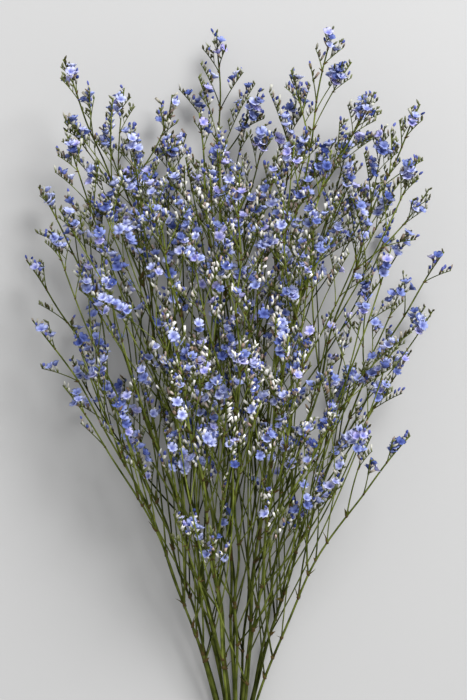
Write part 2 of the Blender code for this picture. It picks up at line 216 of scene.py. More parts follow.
SPIKED_STEM = 0.125
SPIKED_BRANCH = 0.70
SIDE_SPIKE_BASE = 0.0010
SIDE_SPIKE_GROWTH = 0.58
SIDE_SPIKE_ANGLE = (math.radians(36), math.radians(52))
SIDE_SPIKE_SIDES = (5, 1.0)
ARCH = 0.50
TWIGGED_SPIKE = 0.015
TWIG_SPAN = (0.34, 0.86)
TWIG_SPACING = 0.0062
TWIG_LENGTH = (0.0060, 0.0095)
SCALE_LENGTHS = (0.0036, 0.0024)
SCALE_RINGS = ((-0.25, 1.0, 0.7), (0.10, 1.45, 0.9), (0.50, 0.9, 1.0), (1.0, 0.12, 1.0))
LEAF_LENGTH = (0.0034, 0.0078)
LEAF_WIDTH = 0.00072
LEAF_RINGS = ((0.0, 1.4, 0.9), (0.25, 1.3, 0.6), (0.55, 0.95, 0.45), (0.80, 0.5, 0.6), (1.0, 0.08, 0.9))
LEAF_CURL = 0.30
LEAF_FLATNESS = 0.35

# Its buds and blooms. WHITE_BUDS is a share of the buds, and what the middle of the bunch adds to it.
TIP_SPIKE = 0.020
BUD_SPACING = 0.0020
BUD_LENGTH = (0.0036, 0.0050)
BUD_SLIMNESS = (0.25, 0.33)
BUD_RANK = 0.62
TIP_BUD_LENGTH = 0.86
WHITE_BUD_LENGTH = 1.32
GREEN_BUD_WIDTH = 1.35
INNER_REACH = (1.15, 0.095)
INNER_TOP = (0.43, 0.12)
GREEN_TIP = (0.78, 0.36)
INNER_BLOOMS = 0.24
OUTER_BLOOMS = 0.42
BLOOM_CLUMPING = 0.9
BLUE_BUDS = 0.20
WHITE_BUDS = (0.26, 0.36)
BLOOM_WIDTH = (0.0054, 0.0076)
BLOOM_LENGTH = (0.0030, 0.0040)
BLUE_BUD_WIDTH = (0.0013, 0.0020)
BLUE_BUD_LENGTH = (0.0030, 0.0042)
BLOOM_SEAT = 0.80
BLOOM_SINK = 0.0004
CRUMPLE = 0.055
LOBE_DROP = 0.45
BAND_ROUNDS = 3
BAND_GROOVE = 0.00022

# The surface, the light and the camera.
SURFACE_GREY = 0.47
LIGHT_WIDTH = 1.40
LIGHT_POWER = 78.0
LIGHT_PLACE = (1.08, 1.76, 1.62)
LIGHT_AIM = (0.0, 0.25, 0.03)
ROOM_BRIGHTNESS = 0.72
PICTURE_HEIGHT = 0.420
PICTURE_MIDDLE = (-0.0015, 0.249)
BUNCH_MIDDLE_Z = 0.050
CAMERA_DISTANCE = 1.25
SENSOR_HEIGHT = 36.0


def unit(v):
    """Each vector divided by its length."""
    return v / np.linalg.norm(v, axis=-1, keepdims=True)


def rise(value, start, over, least=0.0, most=1.0):
    """How far a value is past a start, as a share of a length, between two limits."""
    return np.clip((value - start) / over, least, most)


def across(direction):
    """Two unit vectors square to a direction: one lying level where it can, and one rising from it."""
    level = unit(np.cross(direction, np.eye(3)[2 if abs(direction[2]) < 0.9 else 0]))
    return level, np.cross(level, direction)


def bezier(p0, p1, p2, p3, count):
    """A cubic curve: its four points weighted by (1-t)^3, 3(1-t)^2 t, 3(1-t) t^2 and t^3."""
    t = np.linspace(0, 1, count)[:, None]
    return (1 - t) ** 3 * p0 + 3 * (1 - t) ** 2 * t * p1 + 3 * (1 - t) * t**2 * p2 + t**3 * p3


def lengths_along(path):
    """The distance along a path to each of its points: the running sum of its steps' lengths."""
    return np.concatenate(([0.0], np.cumsum(np.linalg.norm(np.diff(path, axis=0), axis=1))))


def points_at(path, s, at):
    """The points at some distances along a path whose own points lie at the distances s."""
    return np.stack([np.interp(at, s, path[:, k]) for k in range(3)], axis=-1)


def point_on(path, distance):
    """The point and the unit direction at a distance along a path."""
    s = lengths_along(path)
    distance = min(max(distance, 0.0), s[-1])
    i = min(max(int(np.searchsorted(s, distance)), 1), len(path) - 1)
    return points_at(path, s, distance), unit(path[i] - path[i - 1])


def segment_distances(p, q, a, b):
    """The least distance between the segment p-q and each segment a[i]-b[i], at their shares s and t."""
    u, v, w = q - p, b - a, p - a
    uu = max(float(u @ u), 1e-18)
    vv = np.maximum((v * v).sum(1), 1e-18)
    uv, uw, vw = v @ u, w @ u, (v * w).sum(1)
    spread = uu * vv - uv * uv
    s = np.where(spread > 1e-16 * uu * vv, (uv * vw - vv * uw) / np.maximum(spread, 1e-18), 0.0)
    s = np.clip(s, 0, 1)
    t = np.clip((uv * s + vw) / vv, 0, 1)
    s = np.clip((uv * t - uw) / uu, 0, 1)
    return np.linalg.norm(w + s[:, None] * u - t[:, None] * v, axis=1)


class Room:
    """What is already placed: a row for each segment, with its stem's number, its thickness and its ends."""

    def __init__(self):
        self.rows = []

    def add(self, owner, path, thickness):
        self.rows += [(owner, thickness, *path[i], *path[i + 1]) for i in range(len(path) - 1)]

    def clearance(self, owner, path, thickness):
        """The least gap between a path of this thickness and the pieces of the other stems."""
        rows = np.array(self.rows)
        rows = rows[rows[:, 0] != owner]
        a, b, r = rows[:, 2:5], rows[:, 5:], rows[:, 1] + thickness
        gaps = (segment_distances(path[i], path[i + 1], a, b) - r for i in range(len(path) - 1))
        return min(float(gap.min()) for gap in gaps)


def slot_of(row, place):
    """Where a stem passes through the band."""
    x = (place - (ROW_COUNTS[row] - 1) / 2) * STEM_SPACING
    return np.array((x, 0.0, LOWEST_ROW_Z + row * ROW_RISE))


def stem_path(row, place, cut_y, rings):
    """From the cut end, straight through the band, and out along one curve to the tip."""
    slot, tip = slot_of(row, place), np.array(STEM_TIPS[row][place])
    cut = np.array((slot[0] * CUT_SPREAD, cut_y, LOWEST_ROW_Z + (slot[2] - LOWEST_ROW_Z) * CUT_RISE))
    near, far = slot - (0, STRAIGHT_AT_BAND, 0), slot + (0, STRAIGHT_AT_BAND, 0)
    reach, height = np.linalg.norm(tip - far), tip[2] - far[2]
    leaving = far + np.array((STEM_SPREAD * tip[0], STEM_HANDLE * reach, STEM_SPREAD * height))
    last_way = unit(np.array((STEM_LEAN[0] * tip[0], tip[1], STEM_LEAN[1] * height)))
    arriving = tip - STEM_HANDLE * reach * last_way
    return np.vstack((cut, near, bezier(far, leaving, arriving, tip, rings)))


def stem_radii(path):
    """The radius falls from the band to the tip with the share of the height to the power of the taper."""
    y = np.clip(path[:, 1] / path[-1, 1], 0, 1)
    return STEM_RADIUS + (STEM_TIP_RADIUS - STEM_RADIUS) * y**STEM_TAPER


def rested(path, y):
    """The path with two rings at the middle of the flat, low enough for one facet to lie on the surface."""
    radii = stem_radii(path)
    after = int(np.searchsorted(path[:, 1], y))
    share = (y - path[after - 1, 1]) / (path[after, 1] - path[after - 1, 1])
    middle = path[after - 1] + share * (path[after] - path[after - 1])
    radius = radii[after - 1] + share * (radii[after] - radii[after - 1])
    middle[2] = radius * math.cos(math.pi / STEM_SIDES)
    along = path[after] - path[after - 1]
    along[2] = 0
    half = unit(along) * REST_FLAT_LENGTH / 2
    return np.vstack((path[:after], middle - half, middle + half, path[after:]))


def branch_frame(fork, along, leaving, length):
    """The four points of a curve that leaves a fork one way and bends back towards its parent's way."""
    end = fork + unit(leaving + BEND * along) * length
    first, last = BRANCH_HANDLES
    before = end - last * length * unit(BRANCH_ARRIVING * leaving + along)
    return np.array((fork, fork + first * length * leaving, before, end))


def between_sides(points, sides, allowance=1.0):
    """True for each point inside an outline seen from above and under the top seen from the side."""
    y, least, greatest = np.array(sides).T
    inside = points[:, 0] >= allowance * np.interp(points[:, 1], y, least)
    inside &= points[:, 0] <= allowance * np.interp(points[:, 1], y, greatest)
    return inside & (points[:, 2] <= np.interp(points[:, 1], *np.array(CROWN_TOP).T))


def in_crown(path, allowance=1.0):
    """True where a path stays inside the crown's outline."""
    end = max(allowance * CROWN_SIDES[-1][0], path[0, 1])
    return bool((between_sides(path, CROWN_SIDES, allowance) & (path[:, 1] <= end)).all())


def fits_in(path):
    """True for a branch of the solids that stays in the crown and has room for a bloom above the surface."""
    return in_crown(path[1:]) and off_surface(path[1:], BLOOM_RADIUS)


def in_flowering_part(tip):
    """True where a tip lies between the lines that the flowering part starts and ends at."""
    x, least, greatest = np.array(FLOWERING_PART).T
    return bool(np.interp(tip[0], x, least) <= tip[1] <= np.interp(tip[0], x, greatest))


def off_surface(path, thickness):
    """True where a path of this thickness stays above the surface."""
    return bool((path[:, 2] - thickness >= FLOOR_GAP).all())


def turned(along, angle, azimuth):
    """The direction that leans away from another by an angle, towards an azimuth about it."""
    level, rising = across(along)
    aside = math.cos(azimuth) * level + math.sin(azimuth) * rising
    return unit(math.cos(angle) * along + math.sin(angle) * aside)


def side_azimuth(turn, attempt, tries, spread, draw):
    """A random azimuth on one side by turns, and on the other side after some tries."""
    return math.pi * ((turn + attempt // tries) % 2) + draw.uniform(-spread, spread)


def fork_on(stem, share):
    """The point and the direction at a share of a stem past its cut part, and the length left past it."""
    length = lengths_along(stem["path"])[-1] - CUT_LENGTH
    at = CUT_LENGTH + length * share
    return *point_on(stem["path"], at), length - (at - CUT_LENGTH)


def number_of(row, place):
    """A stem's number, counted from nought along the rows in the band."""
    return sum(ROW_COUNTS[:row]) + place


def best_try(tries, points_of, fits, tips, weight=1.0, clear=lambda path: True):
    """Of some tries, the curve that fits and is clear whose weighted tip is furthest from the other tips."""
    best, best_score = None, 0.0
    for attempt in range(tries):
        points = points_of(attempt)
        path = bezier(*points, BRANCH_RINGS)
        if fits(path):
            score = min(np.linalg.norm(weight * path[-1] - t) for t in tips)
            if score > best_score and clear(path):
                best, best_score = points, score
    return best


def leading_branch(stem, share, tip):
    """A long branch that ends at a given tip: the way it leaves is worked back from where it ends."""
    fork, along, _ = fork_on(stem, share)
    chord = np.array(tip) - fork
    ahead = unit(chord) @ along
    size = BEND * ahead + math.sqrt(BEND**2 * ahead**2 + 1 - BEND**2)
    return branch_frame(fork, along, size * unit(chord) - BEND * along, np.linalg.norm(chord))


def add_branch(stems, number, points, room):
    """Keeps a long branch: its curve's four points, its path and the room that it takes. Returns its tip."""
    path = bezier(*points, BRANCH_RINGS)
    stems[number]["frames"].append(points)
    stems[number]["branches"].append(path)
    room.add(number, path, BRANCH_RADIUS)
    return path[-1]


def place_branches(stems, room, draw):
    """Long branches, one round of forks at a time, each by the best of its tries."""
    for row, place, share, tip in LEADING_BRANCHES:
        number = number_of(row, place)
        add_branch(stems, number, leading_branch(stems[number], share, tip), room)
    tips = [path[-1] for s in stems for path in (s["path"], *s["branches"])]
    for turn, share in enumerate(BRANCH_FORKS):
        for number, stem in enumerate(stems):
            if len(stem["branches"]) > turn:
                continue
            fork, along, left = fork_on(stem, share + draw.uniform(-FORK_SHIFT, FORK_SHIFT))

            def points_of(attempt):
                side = side_azimuth(turn + number, attempt, *BRANCH_SIDES, draw)
                leaving = turned(along, draw.uniform(*BRANCH_ANGLE), side)
                reach = max(BRANCH_SHORTEST, left * draw.uniform(*BRANCH_REACH))
                return branch_frame(fork, along, leaving, reach)

            def clear(path):
                gap = room.clearance(number, path, BRANCH_RADIUS)
                return min(gap, room.clearance(number, path[-2:], BLOOM_RADIUS)) >= GAP

            best = best_try(TRIES, points_of, fits_in, tips, clear=clear)
            if best is not None:
                tips.append(add_branch(stems, number, best, room))


def fine_tries(stem, share, draw):
    """A function for a thin branch's four points, at a random angle, on any side, of a random length."""
    fork, along, left = fork_on(stem, share)

    def points_of(_):
        leaving = turned(along, draw.uniform(*BRANCH_ANGLE), draw.uniform(0, math.tau))
        return branch_frame(fork, along, leaving, max(FINE_SHORTEST, left * draw.uniform(*FINE_REACH)))

    return points_of


def place_fine_branches(stems, room, draw):
    """Thin branches that fill the crown, placed like the long ones, with a bloom at each end."""
    tips = [TIP_WEIGHT * path[-1] for s in stems for path in (s["path"], *s["branches"])]
    for share in FINE_FORKS:
        for number, stem in enumerate(stems):
            points_of = fine_tries(stem, share + draw.uniform(-FORK_SHIFT, FORK_SHIFT), draw)

            def clear(path):
                return in_flowering_part(path[-1]) and room.clearance(number, path, FINE_RADIUS) > GAP

            best = best_try(TRIES, points_of, fits_in, tips, TIP_WEIGHT, clear)
            if best is not None:
                path = bezier(*best, BRANCH_RINGS)
                room.add(number, path, FINE_RADIUS)
                stem["fine_frames"].append(with_bloom(best, number, room, path, draw))
                tips.append(TIP_WEIGHT * path[-1])


def with_bloom(points, number, room, path, draw):
    """A twig's four points, the last two moved on into the bloom that the solid has at its end."""
    end, along = path[-1], unit(path[-1] - path[-2])
    for _ in range(TRIES):
        wanted = np.array(BLOOM_FACING) + BLOOM_FACING_SPREAD * draw.uniform(-1, 1, 3)
        face = unit(along + BLOOM_TURN * unit(wanted - (wanted @ along) * along))
        middle = end + BLOOM_DEPTH * face
        reach = np.vstack((middle - 1e-5 * face, middle))
        if off_surface(reach, BLOOM_RADIUS) and room.clearance(number, reach, BLOOM_RADIUS) > GAP:
            room.add(number, reach, BLOOM_RADIUS)
            return points + INTO_BLOOM * BLOOM_DEPTH * face * np.array((0, 0, 1, 1))[:, None]
    return points


def place_spikes(stems, room, draw):
    """Side spikes near the tip of every stem and long branch, on alternate sides, then their blooms."""
    placed = []
    for turn, from_tip in enumerate(SPIKE_FROM_TIP):
        for number, stem in enumerate(stems):
            for place, axis in enumerate([stem["path"], *stem["branches"]]):
                fork, along = point_on(axis, lengths_along(axis)[-1] - from_tip)
                for attempt in range(TRIES):
                    side = side_azimuth(turn + place, attempt, *SPIKE_SIDES, draw)
                    leaving = turned(along, draw.uniform(*SPIKE_ANGLE), side)
                    points = branch_frame(fork, along, leaving, draw.uniform(*SPIKE_LENGTHS[turn]))
                    path = bezier(*points, 3)
                    fits = off_surface(path[1:], SPIKE_RADIUS) and in_crown(path[1:], SPIKE_ALLOWANCE)
                    if fits and room.clearance(number, path, SPIKE_RADIUS) > GAP:
                        placed.append((number, place, from_tip, points, path))
                        room.add(number, path, SPIKE_RADIUS)
                        break
    for number, place, from_tip, points, path in placed:
        finished = with_bloom(points, number, room, path, draw)
        stems[number]["spike_frames"].append((place, from_tip, finished))


def grown():
    """Every stem's paths, as the solids have them, with the points that their curves are drawn from."""
    draw = np.random.default_rng(SEED)
    room, stems = Room(), []
    for row, count in enumerate(ROW_COUNTS):
        for place in range(count):
            cut_y = -CUT_LENGTH + draw.uniform(-1, 1) * CUT_UNEVENNESS
            path = stem_path(row, place, cut_y, STEM_RINGS)
            rest_y = RESTING_STEMS.get((row, place))
            if rest_y is not None:
                path = rested(path, rest_y)
            stem = {"row": row, "place": place, "cut_y": cut_y, "rest_y": rest_y, "path": path, "frames": []}
            stem.update({"branches": [], "fine_frames": [], "spike_frames": [], "low_frames": []})
            stems.append(stem)
            room.add(len(stems) - 1, path, STEM_RADIUS)
    place_branches(stems, room, draw)
    place_fine_branches(stems, room, draw)
    place_spikes(stems, room, draw)
    return stems


# The finished paths.


def above_start(tip):
    """How far a tip is above the line that the flowering part of the bunch starts from."""
    x, least, _ = np.array(FLOWERING_PART).T
    return tip[1] - np.interp(tip[0], x, least)


def in_finished_crown(points):
    """True where a finished twig stays above the surface and inside the photograph's outline."""
    inside = between_sides(points, FINISHED_SIDES) & (points[:, 1] <= FINISHED_SIDES[-1][0])
    return bool((inside & (points[:, 2] > LOWEST_TWIG)).all())


def clumps(points):
    """The average of four sine waves through space. Flowers gather where it is high."""
    return np.sin(points @ np.array(CLUMP_WAVES).T + np.array(CLUMP_STARTS)).mean(-1)


def fullness(tip):
    """The share of the small twigs that grow here: all in the middle and at the top, and about two fifths at
    the sides. They stand in clumps, with fewer at the lower edge and under the bunch."""
    top = rise(tip[1], *TOP_FILLS)
    middle = np.clip(1.6 - abs(tip[0] - MIDDLE_X) / MIDDLE_HALF, 0, 1) * rise(tip[1], *MIDDLE_FILLS)
    under = 0.5 + 0.5 * np.clip(tip[2] / 0.045 + 2.0 * top - 1.0, 0, 1)
    clump = np.clip(TWIG_CLUMPING[0] + TWIG_CLUMPING[1] * clumps(tip), 0.15, 1)
    return (0.38 + 0.62 * max(top, middle)) * rise(above_start(tip), 0.0, 0.045, 0.15) * under * clump


def arched(points):
    """The same curve bent the other way: it leaves nearer its parent's way and spreads towards its tip."""
    start, leaving, _, end = points
    chord = end - start
    aside = (leaving - start) - ((leaving - start) @ chord) / (chord @ chord) * chord
    return np.array((start, leaving - (1 + ARCH) * aside, end - 0.33 * chord - ARCH * aside, end))


def extra_fits(path):
    """True for a thin branch that ends high in the flowering part, in the middle or near the top."""
    tip, high = path[-1], above_start(path[-1])
    if high < EXTRA_LOWEST or (abs(tip[0]) > EXTRA_MIDDLE and tip[1] < EXTRA_TOP):
        return False
    return in_finished_crown(path[1:]) and in_flowering_part(tip - (0, min(EXTRA_RISE, high), 0))


def place_extra_branches(stems, draw):
    """Thin branches that the solids leave out, by the best of their tries, and those with given tips."""
    tips = [TIP_WEIGHT * path[-1] for s in stems for path in (s["path"], *s["branches"], *s["fine_frames"])]
    for share in EXTRA_FORKS:
        for stem in stems:
            points_of = fine_tries(stem, share + draw.uniform(-EXTRA_FORK_SHIFT, EXTRA_FORK_SHIFT), draw)
            best = best_try(EXTRA_TRIES, points_of, extra_fits, tips, TIP_WEIGHT)
            if best is not None:
                stem["fine_frames"].append(arched(best))
                tips.append(TIP_WEIGHT * best[-1])
    for kind, added in (("fine_frames", TOP_BRANCHES), ("low_frames", LOW_BRANCHES)):
        for row, place, share, tip in added:
            stem = stems[number_of(row, place)]
            stem[kind].append(arched(leading_branch(stem, share, tip)))


def even(path, count):
    """The same path with its points at equal distances along it."""
    s = lengths_along(path)
    return points_at(path, s, np.linspace(0, s[-1], count))


def finished_stem(stem, draw):
    """The stem's curve at many points, its corners eased, with a small wave that dies out at the band."""
    path = even(stem_path(stem["row"], stem["place"], stem["cut_y"], 60), STEM_POINTS)
    for _ in range(2):
        path[1:-1] = 0.25 * path[:-2] + 0.5 * path[1:-1] + 0.25 * path[2:]
    s = lengths_along(path)
    fade = rise(path[:, 1], *WOBBLE_STARTS) * rise(s[-1] - s, 0.0, WOBBLE_ENDS)
    for k in (0, 2):
        wave = np.sin(math.tau * s / (WOBBLE_LENGTH * draw.uniform(0.7, 1.4)) + draw.uniform(0, math.tau))
        path[:, k] += WOBBLE * fade * wave
    if stem["rest_y"] is not None:
        lowest = np.interp(stem["rest_y"], path[:, 1], path[:, 2]) - THIN_RADIUS
        path[:, 2] -= lowest * np.exp(-(((path[:, 1] - stem["rest_y"]) / 0.055) ** 2))
    path[:, 2] = np.maximum(path[:, 2], THIN_RADIUS)
    return np.vstack((path[0], path[0] + CUT_FACE * unit(path[1] - path[0]), path[1:]))


def moved_to(points, parent):
    """A curve's four points moved so that it starts on its finished parent. Its tip stays where it was."""
    fine = even(parent, 500)
    shift = fine[np.argmin(np.linalg.norm(fine - points[0], axis=1))] - points[0]
    return points + shift * np.array((1.0, 0.8, 0.25, 0.0))[:, None]


def side_spike_frame(axis, from_tip, place, draw, low):
    """A side spike's four points: longer further from the tip, on alternate sides, inside the crown. On a
    low spray those near its tip are kept, and elsewhere as many as the fullness says."""
    fork, along = point_on(axis, lengths_along(axis)[-1] - from_tip)
    length = (SIDE_SPIKE_BASE + SIDE_SPIKE_GROWTH * from_tip) * draw.uniform(0.85, 1.2)
    for attempt in range(12):
        side = side_azimuth(place, attempt, *SIDE_SPIKE_SIDES, draw)
        points = branch_frame(fork, along, turned(along, draw.uniform(*SIDE_SPIKE_ANGLE), side), length)
        if in_finished_crown(points[1:]):
            if low:
                wanted = axis[-1, 1] - points[-1, 1] < LOW_SPRAY_DEPTH
            else:
                wanted = draw.random() < fullness(points[-1])
            return points if wanted else None
    return None


def add_branches(plant, stem, main, radii, draw):
    """The branches on a main stem, with their scales and bracts. Returns the paths that side spikes grow on,
    with their radii and how far from the tip they grow."""
    axes = [(main, radii, SPIKED_STEM)]
    for place, points in enumerate(stem["frames"] + stem["fine_frames"] + stem["low_frames"]):
        is_long = place < len(stem["frames"])
        points = moved_to(points, main)
        path = bezier(*points, BRANCH_POINTS)
        start = np.interp(points[0][1], main[:, 1], radii)
        share = LONG_BRANCH_SHARE if is_long else FINE_BRANCH_SHARE
        thick = np.linspace(share * start, FINE_BRANCH_TIP_RADIUS, BRANCH_POINTS)
        away = unit(points[1] - points[0])
        plant["twigs"].append((path, thick, 1))
        plant["scales"].append((points[0], away, 1.1 * start, SCALE_LENGTHS[0]))
        for _ in range(2 if is_long else 1):
            lean = unit(away * draw.uniform(0.7, 1.2) + 0.55 * draw.uniform(-1, 1, 3))
            plant["leaves"].append((points[0], lean, draw.uniform(*LEAF_LENGTH)))
        axes.append((path, thick, SPIKED_BRANCH * lengths_along(path)[-1]))
    return axes


def dressed(stem, number):
    """One finished stem: its twigs from the main stem to the shortest, as paths with radii, its scales, its
    pointed bracts, here called leaves, and the spikes that its buds and blooms sit on."""
    draw = np.random.default_rng(TWIG_SEED + number)
    plant = {"twigs": [], "scales": [], "leaves": [], "spikes": []}
    main = finished_stem(stem, draw)
    share = np.clip(main[:, 1] / main[-1, 1], 0, 1)
    radii = THIN_RADIUS + (FINE_STEM_TIP_RADIUS - THIN_RADIUS) * share**1.05
    thicker = 1 - rise(np.abs(main[:, 1]), *THINNING_PAST_BAND)
    radii += (STEM_RADIUS - THIN_RADIUS) * thicker
    plant["twigs"].append((main, radii, 0))
    first_low = 1 + len(stem["frames"]) + len(stem["fine_frames"])
    for place, (axis, thick, reach) in enumerate(add_branches(plant, stem, main, radii, draw)):
        length = lengths_along(axis)[-1]
        solid = {from_tip: points for where, from_tip, points in stem["spike_frames"] if where == place}
        for from_tip, side in SIDE_SPIKES:
            if from_tip > reach:
                break
            if from_tip in solid:
                points = moved_to(solid[from_tip], axis)
            else:
                moved = from_tip * draw.uniform(0.94, 1.06)
                points = side_spike_frame(axis, moved, side + place, draw, place >= first_low)
            if points is None:
                continue
            path = bezier(*arched(points), SPIKE_POINTS)
            at = length - from_tip
            parent = np.interp(at, np.linspace(0, length, len(thick)), thick)
            start = SPIKE_SHARE * parent
            _, along = point_on(axis, at)
            plant["twigs"].append((path, np.linspace(start, SPIKE_END_RADIUS, SPIKE_POINTS), 2))
            plant["scales"].append((points[0], unit(points[1] - points[0]), parent, SCALE_LENGTHS[1]))
            add_side_twigs(plant, path, along, start, draw)
        _, along = point_on(axis, length - 0.030)
        last = max(6, int(AXIS_POINTS * TIP_SPIKE / length))
        plant["spikes"].append((even(axis, AXIS_POINTS)[-last:], along, 0.0))
    return plant


def add_side_twigs(plant, path, along, start, draw):
    """Short twigs on the upper side of a long spike. A short spike has none. Notes where its buds go."""
    length = lengths_along(path)[-1]
    plant["spikes"].append((path, along, 0.34 if length < 0.016 else 0.50))
    if length < TWIGGED_SPIKE:
        return
    for share in np.arange(*TWIG_SPAN, TWIG_SPACING / length):
        fork, way = point_on(path, length * share)
        if draw.random() > fullness(fork):
            continue
        upper = unit(along - (along @ way) * way + 0.3 * draw.uniform(-1, 1, 3))
        leaving = unit(0.75 * way + upper)
        size = draw.uniform(*TWIG_LENGTH) * (1.35 - 0.85 * share)
        points = branch_frame(fork, unit(way + along), leaving, size)
        twig = bezier(*arched(points), TWIG_POINTS)
        plant["twigs"].append((twig, np.linspace(TWIG_SHARE * start, TWIG_END_RADIUS, TWIG_POINTS), 3))
        plant["spikes"].append((twig, unit(way + along), 0.35))


# Surfaces.


def square_to(ways, leaning):
    """Two unit vectors square to each way: what is left of the leaning vector once its part along the way is
    taken off, and the cross product of the way and that."""
    first = unit(leaning - (leaning * ways).sum(-1, keepdims=True) * ways)
    return first, np.cross(ways, first)


def ring_walls(index):
    """The faces of four sides between each ring of points and the next, all the way round."""
    after = np.roll(index, -1, axis=-1)
    corners = (index[..., :-1, :], after[..., :-1, :], after[..., 1:, :], index[..., 1:, :])
    return np.stack(corners, axis=-1).reshape(-1, 4)


def carried(paths, radii, sides, flat=1.0):
    """A round profile carried along many paths of equal length, as one array: each ring's point is the path's
    point plus the radius times cosine and sine of the turn along two vectors square to the path. The second
    is scaled by flat. Returns the points and the faces: the walls of four sides, then the ends."""
    count, rings = paths.shape[:2]
    steps = unit(np.diff(paths, axis=1))
    ways = unit(np.concatenate((steps[:, :1], unit(steps[:, :-1] + steps[:, 1:]), steps[:, -1:]), axis=1))
    lean = np.abs(ways).mean(1)
    first, second = square_to(ways, np.eye(3)[np.argmin(lean, axis=1)][:, None, :])
    turns = math.tau * np.arange(sides)[:, None] / sides
    around = np.cos(turns) * first[:, :, None, :] + flat * np.sin(turns) * second[:, :, None, :]
    points = paths[:, :, None, :] + radii[:, :, None, None] * around
    index = np.arange(count * rings * sides).reshape(count, rings, sides)
    ends = np.concatenate((index[:, 0, ::-1], index[:, -1]))
    return points.reshape(-1, 3), (ring_walls(index), ends)


def lathe(profile, turns, lobes=1.0):
    """A closed shape of revolution from (height, radius) pairs whose first and last radius is nought: the
    points are the radius times cosine and sine of the turn, and the height. Lobes scale each ring's radius
    by turn, and a ring drops where a lobe is cut in. Returns the points and the faces: the triangles at both
    poles, then the walls of four sides."""
    heights, radii = np.array(profile).T
    sides = len(turns)
    scale = lobes * np.ones((len(profile) - 2, sides))
    x = radii[1:-1, None] * scale * np.cos(turns)
    y = radii[1:-1, None] * scale * np.sin(turns)
    z = heights[1:-1, None] - LOBE_DROP * np.clip(1 - scale, 0, 1)
    rings = np.stack((x, y, z), axis=-1).reshape(-1, 3)
    points = np.vstack(((0, 0, heights[0]), rings, (0, 0, heights[-1])))
    index = 1 + np.arange((len(profile) - 2) * sides).reshape(-1, sides)
    after = np.roll(index, -1, axis=1)
    low = np.stack((np.zeros(sides, int), after[0], index[0]), axis=-1)
    high = np.stack((np.full(sides, len(points) - 1), index[-1], after[-1]), axis=-1)
    return points, (np.vstack((low, high)), ring_walls(index))


def set_down(shape, roots, ways, widths, lengths, draw, crumple=0.0):
    """A small shape set down many times: its own axis laid along each way, turned by a random spin, scaled
    across by each width and along by each length. Crumple moves each point at random by that share of the
    shape's size. Returns the points, the faces and a random tint from 0 to 1 for each one."""
    points, faces = shape
    spins = draw.uniform(0, math.tau, len(roots))
    points = np.broadcast_to(points, (len(roots), *points.shape))
    if crumple:
        points = points + crumple * draw.uniform(-1, 1, points.shape)
    first, second = square_to(ways, np.eye(3)[np.argmin(np.abs(ways), axis=1)])
    level = np.cos(spins)[:, None] * first + np.sin(spins)[:, None] * second
    rising = np.cross(ways, level)
    sideways = points[:, :, :1] * level[:, None] + points[:, :, 1:2] * rising[:, None]
    placed = roots[:, None] + widths[:, None, None] * sideways
    placed = placed + lengths[:, None, None] * points[:, :, 2:] * ways[:, None]
    shift = (np.arange(len(roots)) * points.shape[1])[:, None, None]
    faces = [(kind + shift).reshape(-1, kind.shape[1]) for kind in faces]
    return placed.reshape(-1, 3), faces, draw.random(len(roots))


def piece(name, points, faces, values, material, smooth=True):
    """A mesh object from one array of points, arrays of faces and a number per point for each attribute."""
    mesh = bpy.data.meshes.new(name)
    mesh.vertices.add(len(points))
    mesh.vertices.foreach_set("co", np.ascontiguousarray(points, dtype=np.float32).ravel())
    corners = np.concatenate([f.ravel() for f in faces])
    sizes = np.concatenate([np.full(len(f), f.shape[1]) for f in faces])
    mesh.loops.add(len(corners))
    mesh.loops.foreach_set("vertex_index", corners.astype(np.int32))
    mesh.polygons.add(len(sizes))
    mesh.polygons.foreach_set("loop_start", (np.cumsum(sizes) - sizes).astype(np.int32))
    mesh.update(calc_edges=True)
    for key, numbers in values.items():
        made = mesh.attributes.new(key, "FLOAT", "POINT")
        made.data.foreach_set("value", np.ascontiguousarray(numbers, dtype=np.float32))
    if smooth:
        mesh.shade_smooth()
    mesh.materials.append(material)
    mesh.validate()
    made = bpy.data.objects.new(name, mesh)
    bpy.context.scene.collection.objects.link(made)
    return made


def joined(name, parts, keys, material, smooth=True):
    """One piece of several arrays of shapes, each with its points, its faces and its numbers per point. A
    number that a shape doesn't have is nought there."""
    starts = np.cumsum([0] + [len(points) for points, _, _ in parts])
    faces = [kind + start for (_, kinds, _), start in zip(parts, starts) for kind in kinds]
    values = {}
    for key in keys:
        numbers = [np.broadcast_to(has.get(key, 0.0), len(points)) for points, _, has in parts]
        values[key] = np.concatenate(numbers)
    return piece(name, np.vstack([points for points, _, _ in parts]), faces, values, material, smooth)


# Small shapes, one unit wide and one unit long: radii and heights are shares of the width and the length.
BUD_TURNS = math.tau * np.arange(5) / 5
CLOSED_BUD = lathe(((0.0, 0.0), (0.20, 0.36), (0.55, 0.50), (0.84, 0.26), (1.0, 0.0)), BUD_TURNS)
PAPERY_BUD = lathe(((0.0, 0.0), (0.25, 0.38), (0.66, 0.46), (1.0, 0.48), (0.86, 0.0)), BUD_TURNS)
BLUE_BUD = lathe(((0.0, 0.0), (0.24, 0.34), (0.64, 0.52), (0.92, 0.30), (1.0, 0.0)), BUD_TURNS)
PETALS = np.tile((0.70, 1.02, 1.0), 5)
PETAL_TURNS = (math.tau * np.repeat(np.arange(5), 3) + math.tau * np.tile((0.0, 0.20, 0.80), 5)) / 5
BLOOM_LOBES = np.stack((np.ones(15), 0.4 + 0.6 * PETALS, PETALS, 0.35 + 0.65 * PETALS))
BLOOM_PROFILE = ((0.0, 0.0), (0.34, 0.12), (0.74, 0.33), (1.0, 0.50), (0.66, 0.20), (0.40, 0.0))
BLOOM = lathe(BLOOM_PROFILE, PETAL_TURNS, BLOOM_LOBES)
# Rim share of each bloom point: nought at the throat, where the petal colour is darkened partly as painted
# shade, one at the rim.
BLOOM_RIM = rise(np.hypot(BLOOM[0][:, 0], BLOOM[0][:, 1]), 0.0, 0.45) ** 1.3
BLUE_RIM = 0.15 * BLUE_BUD[0][:, 2]


